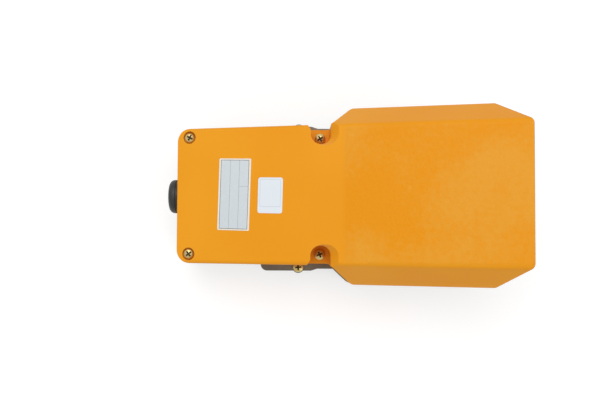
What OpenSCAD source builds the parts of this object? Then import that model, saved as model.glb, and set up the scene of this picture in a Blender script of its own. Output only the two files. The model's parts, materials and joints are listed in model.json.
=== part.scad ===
// Heavy-duty industrial foot switch with a foot guard.
// A sloping cast cover (switch box and hood in one piece) stands on a cast base tray.
// A hinged pedal reaches into the hood; its tail works a snap-action switch in the box.
// X is the width, the mouth of the hood faces -Y, the cable gland faces +Y, Z is up.
// The origin lies on the floor, at the middle of the overall length and width.
// Lengths along the body are given as the distance d forward from the cover's rear face.

/* [Cover] */
// Length of the switch box, from its rear face to the start of the hood's flare
box_len = 113; // [110:1:140]
// Length of the hood, from the start of the flare to the front edge of its top
hood_len = 132.5; // [120:0.5:165]
// Width of the switch box
box_w = 100; // [98:1:125]
// Width of the hood
hood_w = 130; // [126:1:160]
// Height of the top face above the floor at the rear face
rear_h = 56; // [56:1:70]
// Slope of the top face
top_slope = 15; // [13:0.5:18]
// Wall thickness of the cover
cover_wall = 3.6; // [3:0.1:4.5]
// Plan radius of the two rear corners
rear_r = 10; // [6:0.5:14]
// Length over which the hood flares out from the box
flare_len = 16; // [14:1:22]
// Plan radius of the flare's outer corners
flare_r = 8; // [6:0.5:12]
// Plan radius of the hollow corners where the box meets the flare
flare_in_r = 8; // [4:0.5:10]
// Half width of the flat spine of the hood
spine_half = 49; // [44:0.1:50]
// Vertical drop of the hood's side facets
facet_drop = 27; // [22:1:32]
// Radius of the rounded creases beside the spine
crease_r = 5; // [3:0.5:8]
// Radius of the box's top edges
edge_r = 3; // [2:0.5:4]
// How far the mouth leans back for each millimetre down
mouth_rake = 0.543; // [0.4:0.01:0.65]
// Thickness of the web between the switch box and the hood
web_t = 3.5; // [3:0.5:5]

/* [Cover screws] */
// Distance of the screws from the centre plane
screw_x = 43.1; // [42:0.1:43.5]
// Distance of the rear screws from the rear face
screw_rear_d = 9; // [8.5:0.1:11]
// Distance of the front screws behind the start of the flare
screw_front_back = 7; // [6.5:0.1:8]
// Height of the face that the front screw heads seat on
seat_z = 53; // [50:0.5:53]
// Depth of the rear screw seats below the top face
rear_sink = 3; // [2.5:0.5:6]
// Radius of the counterbores round the rear screws
counterbore_r = 4.6; // [4.4:0.05:6]
// Radius of the deep wells round the front screws
well_r = 7.2; // [6.5:0.1:7.5]
// Radius of the soft blend from the front wells to the hood
blend_r = 7; // [5:0.5:8]
// Length of the cover screws below the head
cover_screw_len = 40; // [38:1:42]
// Radius of the screw bosses
boss_r = 6.1; // [5.5:0.1:6.5]

/* [Base] */
// Height of the plane where cover and base meet
part_z = 22; // [22:0.5:25]
// Height of the base's underside above the floor
foot_gap = 2; // [1.5:0.5:4]
// Thickness of the base's floor
floor_t = 4; // [3.5:0.5:5]
// Wall thickness of the base round the switch box
base_wall = 4; // [3.5:0.5:5]
// How far the base stands out beyond the hood
base_lip = 1.5; // [1:0.25:3]
// Distance of the base's front edge behind the hood's front edge
base_back = 5.5; // [4:0.5:12]
// How far the side lugs stand out from the switch box
lug_out = 7; // [6:0.5:10]
// Height of the base's front rim
front_rim_z = 10.5; // [9:0.5:12]

/* [Fixing to the floor] */
// Radius of the four fixing holes
fix_r = 3.25; // [2.75:0.25:3.5]
// Spacing of the fixing holes across the base
fix_dx = 60; // [54:1:62]
// Distance of the rear fixing holes from the rear face
fix_rear_d = 18; // [17:1:20]
// Distance of the front fixing holes behind the base's front edge
fix_front_back = 8; // [7:0.5:10]
// Radius of the rubber feet
foot_r = 7; // [6:0.5:7]

/* [Pedal] */
// Distance of the hinge shaft behind the start of the flare
hinge_back = 23; // [22:0.5:24]
// Height of the hinge shaft
hinge_z = 14; // [14:0.5:15]
// Radius of the hinge shaft
shaft_r = 4; // [3.5:0.5:4]
// Width of the pedal plate
pedal_w = 110; // [90:1:112]
// Width of the pedal's neck between the front bosses
neck_w = 66; // [50:1:68]
// Angle of the pedal plate above the horizontal at rest
pedal_angle = 9.3; // [7:0.1:11]
// Height of the plate's top face where it leaves the neck
plate_z = 34; // [33:0.5:35]
// Thickness of the pedal plate
plate_t = 5; // [4:0.5:6]
// Depth of the flange round the plate, from its top face
flange_h = 12; // [10:0.5:14]
// Distance of the pedal's front edge behind the hood's front edge
pedal_back = 21.5; // [20:0.5:30]
// Largest turn of the pedal
pedal_turn = 8; // [5:0.5:8]

/* [Tread] */
// Thickness of the rubber tread under its ribs
tread_t = 2; // [1.5:0.25:3]
// Height of the tread's ribs
rib_h = 1.5; // [1:0.25:2]
// Distance from one rib to the next
rib_pitch = 6; // [5:0.5:8]

/* [Return spring] */
// Distance of the spring in front of the hinge shaft
spring_fwd = 60; // [54:1:66]
// Mean radius of the spring's coils
spring_r = 9; // [8:0.5:10]
// Diameter of the spring's wire
wire_d = 2; // [1.6:0.1:2.4]
// Number of turns
spring_turns = 7; // [5:1:9]

/* [Snap-action switch] */
// Width of the switch body
micro_w = 17.4; // [15:0.2:18]
// Length of the switch body
micro_len = 49.2; // [48:0.2:50]
// Height of the switch body
micro_h = 24.2; // [23:0.2:24.6]
// Height of the switch body's lower face
micro_z = 33; // [33:0.5:34]
// Spacing of the switch's two mounting holes
micro_pitch = 25.4; // [25.4:0.2:26]
// Distance from the hinge shaft back to the pedal's adjusting screw
tail_arm = 26; // [25:0.5:28]
// Distance from the adjusting screw back to the lever's pin
lever_arm = 33; // [32:0.5:34]
// Distance from the lever's pin forward to the plunger
plunger_arm = 11; // [10:0.5:12]
// Droop of the free lever
lever_droop = 6.5; // [6.2:0.1:7]

/* [Cable gland] */
// Height of the gland's centre
gland_z = 40; // [39:0.5:41]
// Radius of the gland's cap
gland_cap_r = 12.75; // [12.5:0.25:13]
// Radius of the gland's thread
gland_thread_r = 10; // [9:0.5:10]
// How far the gland stands out of the rear face
gland_out = 8; // [7:0.5:12]
// Radius of the cable hole in the gland's rubber seal
cable_r = 4.5; // [3:0.25:5]

/* [Fits] */
// Radial clearance of the pedal's bushes on the shaft
run_clear = 0.05; // [0.02:0.01:0.1]
// Radial clearance of a screw in its threaded or plain hole
screw_clear = 0.1; // [0.05:0.05:0.2]
// Gap between two pieces that meet but don't press
seat_gap = 0.1; // [0.05:0.05:0.2]

/* [Hidden] */
$fn = 96;

// Body
cover_len = box_len + hood_len;
rear_y = (cover_len - gland_out) / 2;
box_half = box_w / 2;
hood_half = hood_w / 2;
flare_a = atan2(hood_half - box_half, flare_len);
web_d = box_len + 1;
cavity_d = web_d + web_t;
front_z = rear_h + cover_len * tan(top_slope);
mouth_foot_d = cover_len - (front_z - part_z) * mouth_rake;
screw_front_d = box_len - screw_front_back;
reach = 2 * cover_len;

// Base
floor_z = foot_gap + floor_t;
base_front_d = cover_len - base_back;
rim_half = hood_half - cover_wall;
lug_rear_d = box_len - 52.5;
lug_front_d = box_len - 13;
fix_front_d = base_front_d - fix_front_back;
hinge_d = box_len - hinge_back;
gasket_in = 1.2;
gasket_w = 1.6;
gasket_deep = 1.5;
gasket_end_d = screw_front_d - boss_r - 1;

foot_sink = 1.5;
foot_places = [
    [-41.5, fix_rear_d + 8], [41.5, fix_rear_d + 8],
    [-rim_half + 7, fix_front_d - 4], [rim_half - 7, fix_front_d - 4]
];
lug_half = box_half + lug_out;
lock_x = lug_half - 2.8;
shaft_boss_r = 7.9;
rib_x = 21;

// Screws
rear_seat_z = top_z(screw_rear_d) - rear_sink;
screw_seats = [[screw_rear_d, rear_seat_z], [screw_front_d, seat_z]];
m4_r = 2;
m4_head_r = 4;
m4_head_h = 2.6;
m3_r = 1.5;
m3_head_r = 2.9;
m3_head_h = 1.6;
foot_screw_z = 1.8;

// Pedal
hub_r = 7.8;
hub_half = 36;
washer_t = 1.8;
bush_len = 14;
bush_wall = 1;
shaft_half = lug_half + 0.5;
plate_d = box_len + 5;
pedal_front_d = cover_len - pedal_back;
pedal_half = pedal_w / 2;
neck_half = neck_w / 2;
spring_d = hinge_d + spring_fwd;
spring_cup_z = plate_z + (spring_d - plate_d) * tan(pedal_angle) - plate_t - 2.5;
spring_cup_r = spring_r + wire_d / 2 + 2;
tail_half = 7;
tail_low = 10.5;
tail_t = 7;
tail_stop_z = tail_low - seat_gap;
adjuster_r = 2.5;
tread_rear_d = plate_d + 20;
tread_edge = 5;
tread_screw_x = pedal_half - tread_edge - 6;
tread_screw_places = [for (x = [-tread_screw_x, tread_screw_x],
    d = [tread_rear_d + 7, pedal_front_d - tread_edge - 7]) [x, d]];
stop_x = neck_half - 2;
stop_d = pedal_front_d - 12;
stop_r = 7;
stop_rib_z = plate_z + (stop_d - plate_d) * tan(pedal_angle) - flange_h;
stop_top_z = hinge_z + (stop_rib_z - hinge_z) * cos(pedal_turn)
    - (stop_d - hinge_d) * sin(pedal_turn) - 0.4;
stop_seat_z = stop_top_z - 5.5;

// Snap-action switch
adjust_d = hinge_d - tail_arm;
pin_d = adjust_d - lever_arm;
pin_z = micro_z - 2.5;
micro_d = pin_d - 3;
micro_top = micro_z + micro_h;
plunger_d = pin_d + plunger_arm;
lever_t = 0.8;
lever_end_d = adjust_d + 6;
blade_z = micro_z + 9;
blade_root_d = micro_d + micro_len - 3.2;
contact_d = pin_d + 3;
hole_z = micro_top - 7.2;
hole_d = micro_d + micro_len / 2;
micro_half = micro_w / 2;
case_t = 1.8;
side_t = 1.6;
bracket_t = 2;
bracket_z = floor_z + 4;
bracket_x = -micro_half - 13;
bracket_ds = [hole_d - 11, hole_d + 11];
earth_x = 26;
earth_d = hole_d - 8;
m4_nut_h = 3.2;
adjust_tip_z = pin_z - lever_arm * tan(lever_droop) - lever_t / 2 / cos(lever_droop) - 0.25;

plunger_r = 2;
terminal_t = 0.8;
terminal_x0 = 0.6;
terminal_x1 = 6.6;
tab_x = (terminal_x0 + terminal_x1) / 2;
tab_d = micro_d - 9;
tab_hole_d = micro_d - 4.5;
m35_r = 1.75;
common_half = 3;
common_z = blade_z - 0.5 - 0.05 - terminal_t;
contact_h = 0.7;
blade_t = 0.4;
closed_z = blade_z - 0.6 - contact_h - terminal_t - 0.03;
blade_travel = 1.55;
open_z = blade_z + 0.6 + blade_travel + contact_h + 0.1;
washer_cup = 1.2;
gland_washer_t = 0.8;
gland_bore_r = 7.5;

// Y of a point at distance d forward from the rear face
function y(d) = rear_y - d;
// Height of the cover's top face at distance d
function top_z(d) = rear_h + d * tan(top_slope);
// Height of the pedal plate's top face at distance d
function plate_top(d) = plate_z + (d - plate_d) * tan(pedal_angle);
// Distance from a rounded corner to its tangent points
function tangent(r, bend) = r * tan(bend / 2);

// ---------------------------------------------------------------- shared shapes

// Children on both sides of the centre plane
module both_sides() {
    children();
    mirror([1, 0, 0]) children();
}

// A flat outline in (y, z), drawn across the width from x0 to x1
module across(x0, x1) {
    translate([x0, 0, 0]) rotate([90, 0, 90]) linear_extrude(x1 - x0) children();
}

// A cylinder lying across the width from x0 to x1
module cross_rod(x0, x1, r, d, z) {
    translate([x0, y(d), z]) rotate([0, 90, 0]) cylinder(h = x1 - x0, r = r);
}

// A cylinder lying along the body between two distances
module long_rod(d0, d1, r, z) {
    translate([0, y(d0), z]) rotate([90, 0, 0]) cylinder(h = d1 - d0, r = r);
}

// An upright cylinder
module post(x, d, z0, z1, r) {
    translate([x, y(d), z0]) cylinder(h = z1 - z0, r = r);
}

// A block from its limits across, along and up
module block(x0, x1, d0, d1, z0, z1) {
    translate([x0, y(d1), z0]) cube([x1 - x0, d1 - d0, z1 - z0]);
}

// A rectangle with round corners, from its limits
module round_rect(x0, y0, x1, y1, r) {
    translate([x0 + r, y0]) square([x1 - x0 - 2 * r, y1 - y0]);
    translate([x0, y0 + r]) square([x1 - x0, y1 - y0 - 2 * r]);
    for (x = [x0 + r, x1 - r], v = [y0 + r, y1 - r]) translate([x, v]) circle(r);
}

// Half an outline that turns from a box of half width near_half to one of half width
// far_half: it flares at d0 over flare_len and its outer corner is rounded
module flared_half(near_half, far_half, d0, front_d, r) {
    t = tangent(r, flare_a);
    d1 = d0 + (far_half - near_half) / tan(flare_a);
    polygon([
        [0, y(d0)],
        [near_half, y(d0)],
        [far_half - t * sin(flare_a), y(d1 - t * cos(flare_a))],
        [far_half, y(d1 + t)],
        [far_half, y(front_d)],
        [0, y(front_d)]
    ]);
    translate([far_half - r, y(d1 + t)]) circle(r);
}

// Outline of the cover from above, set in from its outer face
module hood_plan(inset, d_start) {
    shift = inset * tan(flare_a / 2);
    difference() {
        both_sides()
            flared_half(box_half - inset, hood_half - inset, box_len + shift, reach, flare_r - inset);
        translate([-reach, y(d_start)]) square([2 * reach, reach]);
    }
}

module box_plan(inset, front_d) {
    round_rect(-box_half + inset, y(front_d) - rear_r, box_half - inset, y(inset), rear_r - inset);
}

// Pan head screw with a cross recess: the seat is at the origin, the shank points down
module pan_screw(r, len, head_r, head_h) {
    sag = head_h * 0.55;
    dome_r = (head_r * head_r + sag * sag) / (2 * sag);
    slot_w = head_r * 0.27;
    slot_len = head_r * 1.15;
    slot_deep = head_h * 0.6;
    difference() {
        rotate_extrude() intersection() {
            square([head_r, head_h]);
            translate([0, head_h - dome_r]) circle(dome_r);
        }
        for (a = [0, 90])
            rotate(a) translate([-slot_len / 2, -slot_w / 2, head_h - slot_deep])
                cube([slot_len, slot_w, head_h]);
    }
    translate([0, 0, -len]) cylinder(h = len, r = r);
}

// Hexagon nut standing on the origin plane
module hex_nut(across_flats, h, bore_r) {
    difference() {
        cylinder(h = h, r = across_flats / 2 / cos(30), $fn = 6);
        translate([0, 0, -1]) cylinder(h = h + 2, r = bore_r);
    }
}

// ---------------------------------------------------------------- cover

// A cross-section drawn along the slope of the top face; its height 0 is the top face
module along_top() {
    translate([0, rear_y, rear_h]) rotate([90 - top_slope, 0, 0])
        translate([0, 0, -cover_len / 2]) linear_extrude(2 * cover_len) children();
}

// Half section of the hood under its top face: spine, crease, facet, corner, side wall
module hood_half_section(inset) {
    bend = atan2(facet_drop, hood_half - spine_half);
    up = 90 - bend;
    spine = spine_half - inset * tan(bend / 2);
    side = hood_half - inset;
    drop = inset + (side - spine) * tan(bend);
    r1 = max(crease_r - inset, 1);
    t1 = tangent(r1, bend);
    r2 = max(crease_r - inset, 1);
    t2 = tangent(r2, up);
    polygon([
        [0, -inset],
        [spine - t1, -inset],
        [spine + t1 * cos(bend), -inset - t1 * sin(bend)],
        [side - t2 * cos(bend), -drop + t2 * sin(bend)],
        [side, -drop - t2],
        [side, -reach],
        [0, -reach]
    ]);
    translate([spine - t1, -inset - r1]) circle(r1);
    translate([side - r2, -drop - t2]) circle(r2);
}

module box_section(inset) {
    round_rect(-box_half + inset, -reach, box_half - inset, -inset, max(edge_r - inset, 1));
}

// Side view of the cover: everything behind the raked mouth
module side_profile(low_z, back) {
    polygon([
        [y(-gland_out), low_z],
        [y(mouth_foot_d - back + (low_z - part_z) * mouth_rake), low_z],
        [y(cover_len - back + (reach - front_z) * mouth_rake), reach],
        [y(-gland_out), reach]
    ]);
}

// Plan of the fill in the hollow corner where the box meets the flare
module flare_fillet() {
    t = tangent(flare_in_r, flare_a);
    difference() {
        polygon([
            [box_half - 1, y(box_len - t)],
            [box_half, y(box_len - t)],
            [box_half + t * sin(flare_a), y(box_len + t * cos(flare_a))],
            [box_half - 1, y(box_len + t * cos(flare_a))]
        ]);
        translate([box_half + flare_in_r, y(box_len - t)]) circle(flare_in_r);
    }
}

module cover_solid() {
    intersection() {
        translate([0, 0, part_z]) linear_extrude(reach) box_plan(0, cavity_d + flare_len);
        along_top() box_section(0);
    }
    intersection() {
        translate([0, 0, part_z]) linear_extrude(reach) {
            hood_plan(0, box_len);
            both_sides() flare_fillet();
        }
        along_top() both_sides() hood_half_section(0);
        across(-reach, reach) side_profile(part_z, 0);
    }
}

// The foot space, open below and at the mouth, with a thicker lip round the mouth
module foot_cavity() {
    lip_len = 6;
    lip_t = 1.4;
    translate([0, 0, part_z - 1]) intersection() {
        linear_extrude(reach) hood_plan(cover_wall, cavity_d);
        translate([0, 0, 1 - part_z]) along_top() both_sides() hood_half_section(cover_wall);
        translate([0, 0, 1 - part_z]) across(-reach, reach) side_profile(part_z - 1, lip_len);
    }
    intersection() {
        translate([0, 0, part_z - 1]) linear_extrude(reach) hood_plan(cover_wall + lip_t, cavity_d);
        along_top() both_sides() hood_half_section(cover_wall + lip_t);
    }
}

// The switch space, open below
module switch_cavity() {
    intersection() {
        translate([0, 0, part_z - 1]) linear_extrude(reach)
            round_rect(-box_half + base_wall, y(web_d), box_half - base_wall, y(cover_wall),
                rear_r - base_wall);
        along_top() box_section(cover_wall);
    }
}

// Walls and columns that carry the four cover screws
module screw_columns() {
    for (x = [-screw_x, screw_x]) {
        post(x, screw_rear_d, part_z, rear_seat_z + 1, boss_r);
        post(x, screw_front_d, part_z, seat_z, boss_r);
        post(x, screw_front_d, seat_z - cover_wall, top_z(box_len), well_r + cover_wall);
    }
}

// The blend from a front well up to the hood's top face: a cone that leans towards the hood
// while its rear side stands upright, and the same slope carried on to the side
module well_blend() {
    lean = (90 - top_slope) / 2;
    d0 = screw_front_d + well_r;
    z0 = top_z(d0) - tangent(blend_r, 2 * lean);
    run = 2 * blend_r * sin(lean);
    climb = 2 * blend_r * cos(lean);
    r = well_r - 0.2;
    up = 2 * r / tan(lean);
    low = up / 3;
    high = (up + 2 * blend_r) / cos(lean);
    translate([screw_x, y(d0) + 2 * r, z0 - up]) rotate([lean / 2, 0, 0]) translate([0, 0, low])
        cylinder(h = high - low, r1 = low * tan(lean / 2), r2 = high * tan(lean / 2));
    across(screw_x, hood_half) polygon([
        [y(screw_front_d), z0],
        [y(d0), z0],
        [y(d0 + run), z0 + climb],
        [y(screw_front_d), z0 + climb]
    ]);
}

// The well over a front screw, open to the side, with a rear corner that opens outwards
module side_well() {
    rear_d = screw_front_d - well_r;
    taper = 3;
    post(screw_x, screw_front_d, seat_z, reach, well_r);
    block(screw_x, box_half + cover_wall, rear_d, screw_front_d + well_r, seat_z, reach);
    translate([0, 0, seat_z]) linear_extrude(reach) polygon([
        [screw_x + taper, y(rear_d + 1)],
        [screw_x + taper, y(rear_d)],
        [box_half + 1, y(rear_d - taper)],
        [box_half + 1, y(rear_d + 1)]
    ]);
    well_blend();
}

module cover_casting() {
    arch_half = neck_half + 3;
    arch_z = plate_z + 3.5;
    color("orange") difference() {
        union() {
            difference() {
                cover_solid();
                foot_cavity();
                switch_cavity();
            }
            intersection() {
                cover_solid();
                screw_columns();
                translate([0, 0, -1]) linear_extrude(reach) box_plan(0, web_d);
            }
        }
        both_sides() side_well();
        for (x = [-screw_x, screw_x]) {
            post(x, screw_rear_d, rear_seat_z, reach, counterbore_r);
            for (s = screw_seats) post(x, s[0], part_z - 1, s[1] + 1, m4_r + screw_clear);
        }
        long_rod(-1, 2 * cover_wall, gland_thread_r + screw_clear, gland_z);
        block(-arch_half, arch_half, web_d - 1, cavity_d + 1, part_z - 1, arch_z);
    }
}

// The U-shaped path of the gasket, open towards the hood; slack widens it for its groove
module gasket_path(slack) {
    difference() {
        intersection() {
            box_plan(gasket_in - slack, box_len);
            translate([-box_half, y(gasket_end_d + slack)]) square([box_w, gasket_end_d + slack]);
        }
        box_plan(gasket_in + gasket_w + slack, box_len);
    }
}

module cover_gasket() {
    color("black") translate([0, 0, part_z - gasket_deep]) linear_extrude(gasket_deep) gasket_path(0);
}

// ---------------------------------------------------------------- base

// Outline of the base: switch box, side lugs and the lip round the hood
module base_plan(inset) {
    shift = inset * tan(flare_a / 2);
    front_r = 12;
    box_plan(inset, box_len + flare_len);
    intersection() {
        both_sides() flared_half(box_half + base_lip - inset, hood_half + base_lip - inset,
            box_len + shift, reach, flare_r);
        round_rect(-hood_half - base_lip + inset, y(base_front_d - inset), hood_half + base_lip - inset,
            y(box_len + shift), front_r - inset);
    }
}

// A side lug with a round rear corner, a bump round its screw and a taper to the hood
module lug_plan() {
    lug_r = 5;
    bump_r = 4.6;
    taper_half = lug_half - 1.6;
    both_sides() {
        polygon([
            [0, y(lug_rear_d)],
            [lug_half - lug_r, y(lug_rear_d)],
            [lug_half, y(lug_rear_d + lug_r)],
            [lug_half, y(lug_front_d)],
            [taper_half, y(lug_front_d + 5)],
            [taper_half, y(box_len + flare_len)],
            [0, y(box_len + flare_len)]
        ]);
        translate([lug_half - lug_r, y(lug_rear_d + lug_r)]) circle(lug_r);
        translate([lock_x, y(hinge_d)]) circle(bump_r);
    }
}

// Side view of the rim: full height up to the hood's mouth, then down to the front
module rim_profile() {
    slope_d = mouth_foot_d + (base_front_d - mouth_foot_d) * 0.72;
    polygon([
        [y(-1), foot_gap - 1],
        [y(base_front_d + 1), foot_gap - 1],
        [y(base_front_d + 1), front_rim_z],
        [y(slope_d), front_rim_z],
        [y(mouth_foot_d), part_z],
        [y(-1), part_z]
    ]);
}

module base_solid() {
    intersection() {
        translate([0, 0, foot_gap]) linear_extrude(part_z - foot_gap) {
            base_plan(0);
            lug_plan();
        }
        across(-reach, reach) rim_profile();
    }
}

// The tray inside the base
module base_tray() {
    rim_t = cover_wall + base_lip;
    shift = rim_t * tan(flare_a / 2);
    translate([0, 0, floor_z]) linear_extrude(part_z) {
        round_rect(-box_half + base_wall, y(box_len + flare_len), box_half - base_wall, y(base_wall),
            rear_r - base_wall);
        intersection() {
            both_sides() flared_half(box_half - base_wall, rim_half, box_len + shift, reach,
                flare_r - cover_wall);
            round_rect(-rim_half, y(base_front_d - rim_t), rim_half, y(box_len + shift), 6);
        }
    }
}

// Bosses, seats and ribs that stand on the floor of the tray
module base_bosses() {
    for (x = [-screw_x, screw_x], d = [screw_rear_d, screw_front_d]) post(x, d, floor_z, part_z, boss_r);
    for (x = [-fix_dx / 2, fix_dx / 2]) post(x, fix_rear_d, floor_z, floor_z + 3, fix_r + 3);
    both_sides() {
        cross_rod(hub_half + washer_t + 2 * seat_gap, box_half, shaft_boss_r, hinge_d, hinge_z);
        block(hub_half + washer_t + 2 * seat_gap, box_half, hinge_d - shaft_boss_r,
            hinge_d + shaft_boss_r, floor_z, hinge_z);
    }
    for (d = bracket_ds) post(bracket_x, d, floor_z, bracket_z, 4.5);
    post(earth_x, earth_d, floor_z, bracket_z, 4.5);
    for (x = [-stop_x, stop_x]) post(x, stop_d, floor_z, stop_seat_z, stop_r);
    post(0, spring_d, floor_z, floor_z + 5, spring_r - wire_d / 2 - 0.4);
    post(0, adjust_d, floor_z, tail_stop_z - 2, 4);
    for (x = [-rib_x, rib_x]) block(x - 1.25, x + 1.25, cavity_d + 4, base_front_d - 18, floor_z, floor_z + 3);
    for (d = [spring_d + 14, stop_d - 14]) block(-rib_x, rib_x, d - 1.25, d + 1.25, floor_z, floor_z + 2.5);
}

module base_casting() {
    color("gray") difference() {
        union() {
            difference() {
                base_solid();
                base_tray();
            }
            base_bosses();
        }
        translate([0, 0, part_z - gasket_deep]) linear_extrude(2 * gasket_deep) gasket_path(0.05);
        for (x = [-screw_x, screw_x], s = screw_seats)
            post(x, s[0], s[1] - cover_screw_len - 2, part_z + 1, m4_r + screw_clear);
        for (x = [-fix_dx / 2, fix_dx / 2], d = [fix_rear_d, fix_front_d])
            post(x, d, 0, part_z, fix_r);
        for (p = foot_places) {
            post(p[0], p[1], foot_gap - 1, foot_gap + foot_sink, foot_r + seat_gap);
            post(p[0], p[1], foot_gap, floor_z + 1, m3_r + screw_clear);
        }
        cross_rod(-reach, reach, shaft_r + run_clear, hinge_d, hinge_z);
        for (x = [-lock_x, lock_x]) post(x, hinge_d, hinge_z, part_z + 1, m4_r + screw_clear);
        for (d = bracket_ds) post(bracket_x, d, floor_z, bracket_z + 1, m4_r + screw_clear);
        post(earth_x, earth_d, floor_z, bracket_z + 1, m4_r + screw_clear);
        post(0, adjust_d, tail_stop_z - 5, tail_stop_z, 1.6);
        for (x = [-stop_x, stop_x]) post(x, stop_d, stop_seat_z - 6, stop_seat_z + 1, 2.1);
    }
}

module rubber_feet() {
    color("black") for (p = foot_places) difference() {
        union() {
            post(p[0], p[1], 0.8, foot_gap + foot_sink, foot_r);
            post(p[0], p[1], 0, 0.8, foot_r - 0.8);
        }
        post(p[0], p[1], -1, foot_gap + foot_sink + 1, m3_r + screw_clear);
        post(p[0], p[1], -1, foot_screw_z, m3_head_r + 0.2);
    }
}

// Screws that hold the rubber feet, with their heads sunk into the rubber
module feet_screws() {
    color("silver") for (p = foot_places)
        translate([p[0], y(p[1]), foot_screw_z]) rotate([180, 0, 0])
            pan_screw(m3_r, floor_z - foot_screw_z, m3_head_r, foot_screw_z - 0.3);
}

// ---------------------------------------------------------------- screws of the body

module cover_screws() {
    color("goldenrod") for (x = [-screw_x, screw_x], s = screw_seats)
        translate([x, y(s[0]), s[1]]) pan_screw(m4_r, cover_screw_len, m4_head_r, m4_head_h);
}

module shaft_lock_screws() {
    color("goldenrod") for (x = [-lock_x, lock_x])
        translate([x, y(hinge_d), part_z])
            pan_screw(m4_r, part_z - hinge_z - shaft_r, m4_head_r, m4_head_h);
}

// ---------------------------------------------------------------- hinge and pedal

module hinge_shaft() {
    chamfer = 0.5;
    color("silver") intersection() {
        cross_rod(-shaft_half, shaft_half, shaft_r, hinge_d, hinge_z);
        translate([-shaft_half, y(hinge_d), hinge_z]) rotate([0, 90, 0]) {
            cylinder(h = chamfer, r1 = shaft_r - chamfer, r2 = shaft_r);
            translate([0, 0, chamfer]) cylinder(h = 2 * (shaft_half - chamfer), r = shaft_r);
            translate([0, 0, 2 * shaft_half - chamfer])
                cylinder(h = chamfer, r1 = shaft_r, r2 = shaft_r - chamfer);
        }
    }
}

module thrust_washers() {
    color("ivory") both_sides() difference() {
        cross_rod(hub_half + seat_gap, hub_half + seat_gap + washer_t, hub_r - 0.6, hinge_d, hinge_z);
        cross_rod(hub_half, hub_half + 2 * washer_t, shaft_r + run_clear, hinge_d, hinge_z);
    }
}

// Outline of the pedal from above
module pedal_plan(inset) {
    front_r = 14;
    rear_corner = 10;
    shoulder_d = plate_d + 17;
    intersection() {
        union() {
            both_sides() polygon([
                [0, y(hinge_d)],
                [neck_half - inset, y(hinge_d)],
                [neck_half - inset, y(plate_d)],
                [pedal_half - inset, y(shoulder_d)],
                [pedal_half - inset, y(pedal_front_d - inset)],
                [0, y(pedal_front_d - inset)]
            ]);
        }
        union() {
            round_rect(-pedal_half + inset, y(pedal_front_d - inset), pedal_half - inset,
                y(plate_d + rear_corner), front_r - inset);
            translate([-pedal_half, y(shoulder_d + rear_corner)])
                square([pedal_w, shoulder_d + rear_corner - hinge_d]);
        }
    }
}

// Side view of neck and plate, depth below the plate's top face
module pedal_side(depth) {
    polygon([
        [y(hinge_d + 1), hinge_z + hub_r - 0.5],
        [y(hinge_d + 5), hinge_z + hub_r],
        [y(plate_d - 7), plate_z - 1.5],
        [y(plate_d), plate_z],
        [y(reach), plate_top(reach)],
        [y(reach), plate_top(reach) - depth],
        [y(plate_d + 10), plate_top(plate_d + 10) - depth],
        [y(hinge_d + 8), hinge_z - hub_r + 2],
        [y(hinge_d + 1), hinge_z - hub_r + 0.5]
    ]);
}

module pedal_tail() {
    difference() {
        union() {
            post(0, adjust_d, tail_low, tail_low + tail_t, tail_half);
            block(-tail_half, tail_half, adjust_d, hinge_d - 2, tail_low, tail_low + tail_t);
        }
        post(0, adjust_d, 0, part_z + 2, adjuster_r + screw_clear);
    }
}

module pedal_casting() {
    wall = 4.5;
    color("gray") difference() {
        union() {
            cross_rod(-hub_half, hub_half, hub_r, hinge_d, hinge_z);
            pedal_tail();
            difference() {
                intersection() {
                    linear_extrude(reach) pedal_plan(0);
                    across(-pedal_half, pedal_half) pedal_side(flange_h);
                }
                pedal_pockets(wall);
                post(0, spring_d, 0, spring_cup_z, spring_cup_r);
            }
            intersection() {
                post(0, spring_d, spring_cup_z, spring_cup_z + 20, spring_cup_r);
                across(-pedal_half, pedal_half) pedal_side(2 * flange_h);
            }
            post(0, spring_d, spring_cup_z - 4, spring_cup_z + 1, spring_r - wire_d / 2 - 0.6);
        }
        cross_rod(-hub_half - 1, hub_half + 1, shaft_r + 2 * run_clear + 0.4, hinge_d, hinge_z);
        both_sides() cross_rod(hub_half - bush_len, hub_half + 1, shaft_r + run_clear + bush_wall,
            hinge_d, hinge_z);
        for (p = tread_screw_places) tread_frame(p[1]) translate([p[0], 0, -plate_t - 1])
            cylinder(h = plate_t + 2, r = m3_r + screw_clear);
    }
}

// Hollows under the plate, between the flange and the long ribs
module pedal_pockets(wall) {
    rib_t = 4;
    rib_xs = [-neck_half + rib_t / 2, -neck_half / 3, neck_half / 3, neck_half - rib_t / 2];
    difference() {
        intersection() {
            linear_extrude(reach) pedal_plan(wall);
            across(-pedal_half, pedal_half) pedal_pocket_side();
        }
        for (x = rib_xs) block(x - rib_t / 2, x + rib_t / 2, hinge_d, pedal_front_d, 0, reach);
    }
}

module pedal_pocket_side() {
    polygon([
        [y(hinge_d + hub_r + 4), 0],
        [y(hinge_d + hub_r + 4), hinge_z + 2],
        [y(plate_d), plate_z - plate_t],
        [y(reach), plate_top(reach) - plate_t],
        [y(reach), 0]
    ]);
}

module pedal_bushes() {
    color("peru") both_sides() difference() {
        cross_rod(hub_half - bush_len, hub_half, shaft_r + run_clear + bush_wall, hinge_d, hinge_z);
        cross_rod(0, hub_half + 1, shaft_r + run_clear, hinge_d, hinge_z);
    }
}

// A frame on the plate's top face at distance d, tilted with the plate
module tread_frame(d) {
    translate([0, y(d), plate_top(d)]) rotate([-pedal_angle, 0, 0]) children();
}

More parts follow.
